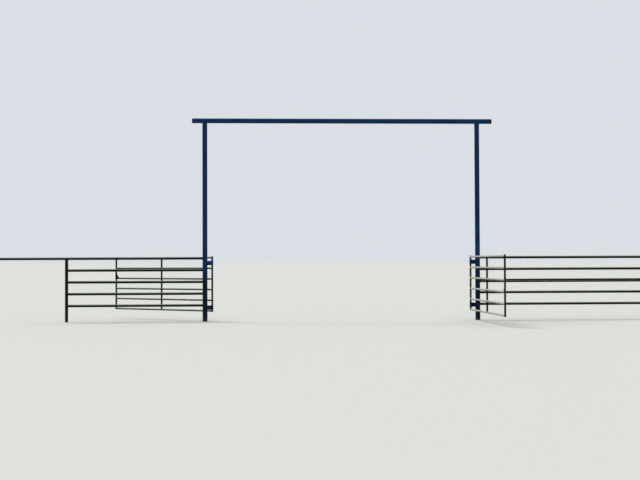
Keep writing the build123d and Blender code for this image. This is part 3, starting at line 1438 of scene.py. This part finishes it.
@dataclass(frozen=True)
class Chain:
    """Links of bent wire, each turned a quarter from the one before.

    Attributes:
        wire: Radius of the links' wire.
        length: Of a link, outside.
        width: Of a link, outside.
        slack: Play between two links.
        sides: Faces round the wire.
        bend_points: Points round each quarter bend.
    """

    wire: float = 3 * MM
    length: float = 38 * MM
    width: float = 21 * MM
    slack: float = 0.5 * MM
    sides: int = 10
    bend_points: int = 6

    @property
    def pitch(self) -> float:
        """From one link's middle to the next one's."""
        return self.length - 4 * self.wire - self.slack

    def hang(self, name: str, middles: Line, first_turn: float, finish: Finish) -> bpy.types.Object:
        """Makes links along a line of middles.

        Args:
            name: The piece's name.
            middles: The middle of each link, and one point more that the last link points to.
            first_turn: Turn of the first link about the line, in radians.
            finish: The links' finish.

        Returns:
            The links as one piece.
        """
        tree = PieceTree(f"{name}.links")
        wire = tree.size("Wire Radius", "Float", self.wire)
        length = tree.size("Link Length", "Float", self.length)
        width = tree.size("Link Width", "Float", self.width)
        turn = tree.size("First Turn", "Float", first_turn)
        links = tree.size("Links", "Int", len(middles) - 1)
        curve = tree.curves()
        index = tree.wire("GeometryNodeInputIndex")
        tangent = tree.wire("GeometryNodeInputTangent")
        along = tree.wire("FunctionNodeAlignRotationToVector", {"axis": "X"}, {"Vector": tangent})
        about = {"Axis": tuple(ACROSS), "Angle": index * QUARTER_TURN + turn}
        spin = tree.wire("FunctionNodeAxisAngleToRotation", None, about)
        turned = {"Rotation": along, "Rotate By": spin}
        rotation = tree.wire("FunctionNodeRotateRotation", {"rotation_space": "LOCAL"}, turned)
        breadth = width - 2.0 * wire
        sides = {"Width": length - 2.0 * wire, "Height": breadth}
        oblong = tree.wire("GeometryNodeCurvePrimitiveQuadrilateral", None, sides)
        rounding = {"Count": self.bend_points, "Radius": breadth / 2.0, "Limit Radius": True}
        oval = tree.wire("GeometryNodeFilletCurve", {"mode": "POLY"}, {"Curve": oblong, **rounding})
        link = tree.swept(oval, self.sides, wire, False)
        chosen = tree.sum_node("LESS_THAN", index, links)
        placing = {"Points": curve, "Selection": chosen, "Instance": link, "Rotation": rotation}
        tree.close(tree.wire("GeometryNodeInstanceOnPoints", None, placing), finish)
        return tree.grow(name, [middles], closed=False)


@dataclass
class LatchChain:
    """The latch chain on the right gate: its staple's welds, its links and the screw link at its end.

    Attributes:
        node: The staple in the solids.
        rod: Radius of the staple's rod.
        rod_points: Points round the weld of a leg.
        staple_bead: The weld of a leg.
        links: How many links hang from the staple.
        chain: The links.
        hang_off: From the stile's axis to the chain.
        rest: Play between links that hang on each other.
        screw_link: The link at the chain's end.
        nut: Its nut.
        nut_length: Of the nut.
    """

    node: str = "right_gate_chain_staple"
    rod: float = 4 * MM
    rod_points: int = 24
    staple_bead: WeldBead = WeldBead(radius=2.0 * MM, pitch=3 * MM, seed=29)
    links: int = 8
    chain: Chain = Chain()
    hang_off: float = 32.5 * MM
    rest: float = 0.3 * MM
    screw_link: Chain = Chain(wire=4 * MM, length=104 * MM, width=40 * MM, sides=14, bend_points=12)
    nut: RoundBar = RoundBar(radius=7.5 * MM, sides=6)
    nut_length: float = 26 * MM

    def build(self) -> None:
        """Dresses the staple, lays its welds and hangs the chain."""
        dress((self.node,), GATE_ENAMEL)
        stile = SwingGate(Side.RIGHT).end_stile
        low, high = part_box(self.node)
        outward = (low + high) / 2 - stile.at((low.z + high.z) / 2)
        outward.normalize()
        legs = (low.z + self.rod, high.z - self.rod)
        outline = round_outline(self.rod, self.rod_points)
        seams = [seam(stile, stile.at(z), outward, outline) for z in legs]
        welds = self.staple_bead.lay("chain_staple_welds", seams, GATE_WELD)
        settle(welds, Body.RIGHT_GATE)
        across_leg = -math.atan2(outward.y, outward.x)
        bearing = legs[0] + self.rod + self.rest - self.chain.length / 2 + 2 * self.chain.wire
        first = stile.at(bearing) + outward * self.hang_off
        middles = [first - UP * self.chain.pitch * i for i in range(self.links + 1)]
        hanging = self.chain.hang("latch_chain", middles, across_leg, CHAIN_STEEL)
        settle(hanging, Body.RIGHT_GATE)
        self._end_link(middles[self.links - 1], outward, across_leg)

    def _end_link(self, last: Vector, outward: Vector, turn: float) -> None:
        """Hangs the screw link under the last link, with its nut.

        Args:
            last: Middle of the last link.
            outward: Direction from the stile to the chain.
            turn: Turn of the screw link about the chain's line, in radians.
        """
        chain, link = self.chain, self.screw_link
        drop = chain.length / 2 - 2 * chain.wire - 2 * link.wire - self.rest + link.length / 2
        middle = last - UP * drop
        piece = link.hang("latch_screw_link", [middle, middle - UP * link.pitch], turn, CHAIN_STEEL)
        settle(piece, Body.RIGHT_GATE)
        side = middle + UP.cross(outward) * (link.width / 2 - link.wire)
        ends = [side + UP * self.nut_length / 2, side - UP * self.nut_length / 2]
        settle(self.nut.sweep("latch_link_nut", ends, CHAIN_STEEL), Body.RIGHT_GATE)


@dataclass
class Studio:
    """Pale floor, pale backdrop and soft light.

    Attributes:
        floor_reach: From the middle of the floor to its edge, in metres.
        floor_paint: The floor's paint.
        backdrop: Colour behind the gateway.
        dome_light: Strength of the even light.
        key_strength: Strength of the key light.
        key_size: How broad the key light is, in degrees.
        key_from: Direction from the gateway to the key light.
    """

    floor_reach: float = 4000.0
    floor_paint: FloorPaint = FloorPaint("studio_floor")
    backdrop: Colour = (0.70, 0.74, 0.78)
    dome_light: float = 0.75
    key_strength: float = 1.6
    key_size: float = 18.0
    key_from: Triple = (-0.42, 0.30, 0.86)

    def build(self) -> None:
        """Lays the floor and hangs the lights."""
        self._lay_floor()
        self._light_dome()
        self._hang_key()

    def _lay_floor(self) -> None:
        """A plain floor at ground level."""
        reach = self.floor_reach
        corners = [(-reach, -reach, 0), (reach, -reach, 0), (reach, reach, 0), (-reach, reach, 0)]
        floor = shell("floor", corners, [(0, 1, 2, 3)], self.floor_paint)

    def _light_dome(self) -> None:
        """Even light from all round, with the pale backdrop where it is seen or mirrored."""
        world = bpy.data.worlds.new("studio")
        world.use_nodes = True
        bpy.context.scene.world = world
        tree = ShaderTree(world.node_tree)
        ray = tree.node("ShaderNodeLightPath")
        seen = Wire(tree, ray.outputs["Is Camera Ray"])
        for kind in ("Is Glossy Ray", "Is Transmission Ray"):
            seen = seen.larger(Wire(tree, ray.outputs[kind]))
        white = {"Color": (1.0, 1.0, 1.0, 1.0), "Strength": self.dome_light}
        light = tree.wire("ShaderNodeBackground", None, white)
        shown = tree.wire("ShaderNodeBackground", None, {"Color": (*self.backdrop, 1.0), "Strength": 1.0})
        mixed = tree.wire("ShaderNodeMixShader", None, {"Fac": seen, "Shader": light, "Shader_001": shown})
        tree.node("ShaderNodeOutputWorld", None, {"Surface": mixed})

    def _hang_key(self) -> None:
        """A broad soft key light, high on the left and a little behind."""
        lamp = bpy.data.lights.new("key", "SUN")
        lamp.energy = self.key_strength
        lamp.angle = math.radians(self.key_size)
        key = placed("key", lamp)
        key.rotation_euler = Vector(self.key_from).to_track_quat("Z", "Y").to_euler()


@dataclass
class Viewpoint:
    """The camera, where the photograph was taken from.

    Attributes:
        place: The lens, in metres.
        yaw: Degrees from +Y towards +X.
        pitch: Degrees above level.
        roll: Degrees that the frame is turned.
        focal: Focal length, in pixels of the frame.
        frame_width: Width of the frame, in pixels.
        reach: How far the camera sees, in metres.
    """

    place: Triple = (1.5418, -24.5153, 1.3622)
    yaw: float = 2.667
    pitch: float = 1.229
    roll: float = -0.2132
    focal: float = 1048.15
    frame_width: int = 640
    reach: float = 6000.0

    def build(self) -> None:
        """Makes the camera and looks through it."""
        yaw, pitch, roll = (math.radians(a) for a in (self.yaw, self.pitch, self.roll))
        ahead = Vector((math.sin(yaw) * math.cos(pitch), math.cos(yaw) * math.cos(pitch), math.sin(pitch)))
        level = Vector((math.cos(yaw), -math.sin(yaw), 0.0))
        above = level.cross(ahead)
        right = level * math.cos(roll) + above * math.sin(roll)
        up = above * math.cos(roll) - level * math.sin(roll)
        data = bpy.data.cameras.new("viewpoint")
        data.sensor_fit = "HORIZONTAL"
        data.lens = self.focal * data.sensor_width / self.frame_width
        data.clip_end = self.reach
        camera = placed("viewpoint", data)
        turned = Matrix((right, up, -ahead)).transposed().to_4x4()
        camera.matrix_world = Matrix.Translation(self.place) @ turned
        bpy.context.scene.camera = camera


def write_sizes() -> None:
    """Brings the evaluated scene up to date."""
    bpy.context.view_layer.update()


def main() -> None:
    """Dresses the gateway, piece by piece, and sets the studio round it."""
    logging.basicConfig(level=logging.INFO, format="%(message)s")
    bpy.context.scene.view_settings.view_transform = "Standard"
    Viewpoint().build()
    Studio().build()
    TallFrame().build()
    for side in Side:
        FenceWing(side).build()
        Hinges(side).build()
        SwingGate(side).build()
    LatchPlate().build()
    LatchChain().build()
    write_sizes()


if __name__ == "__main__":
    main()
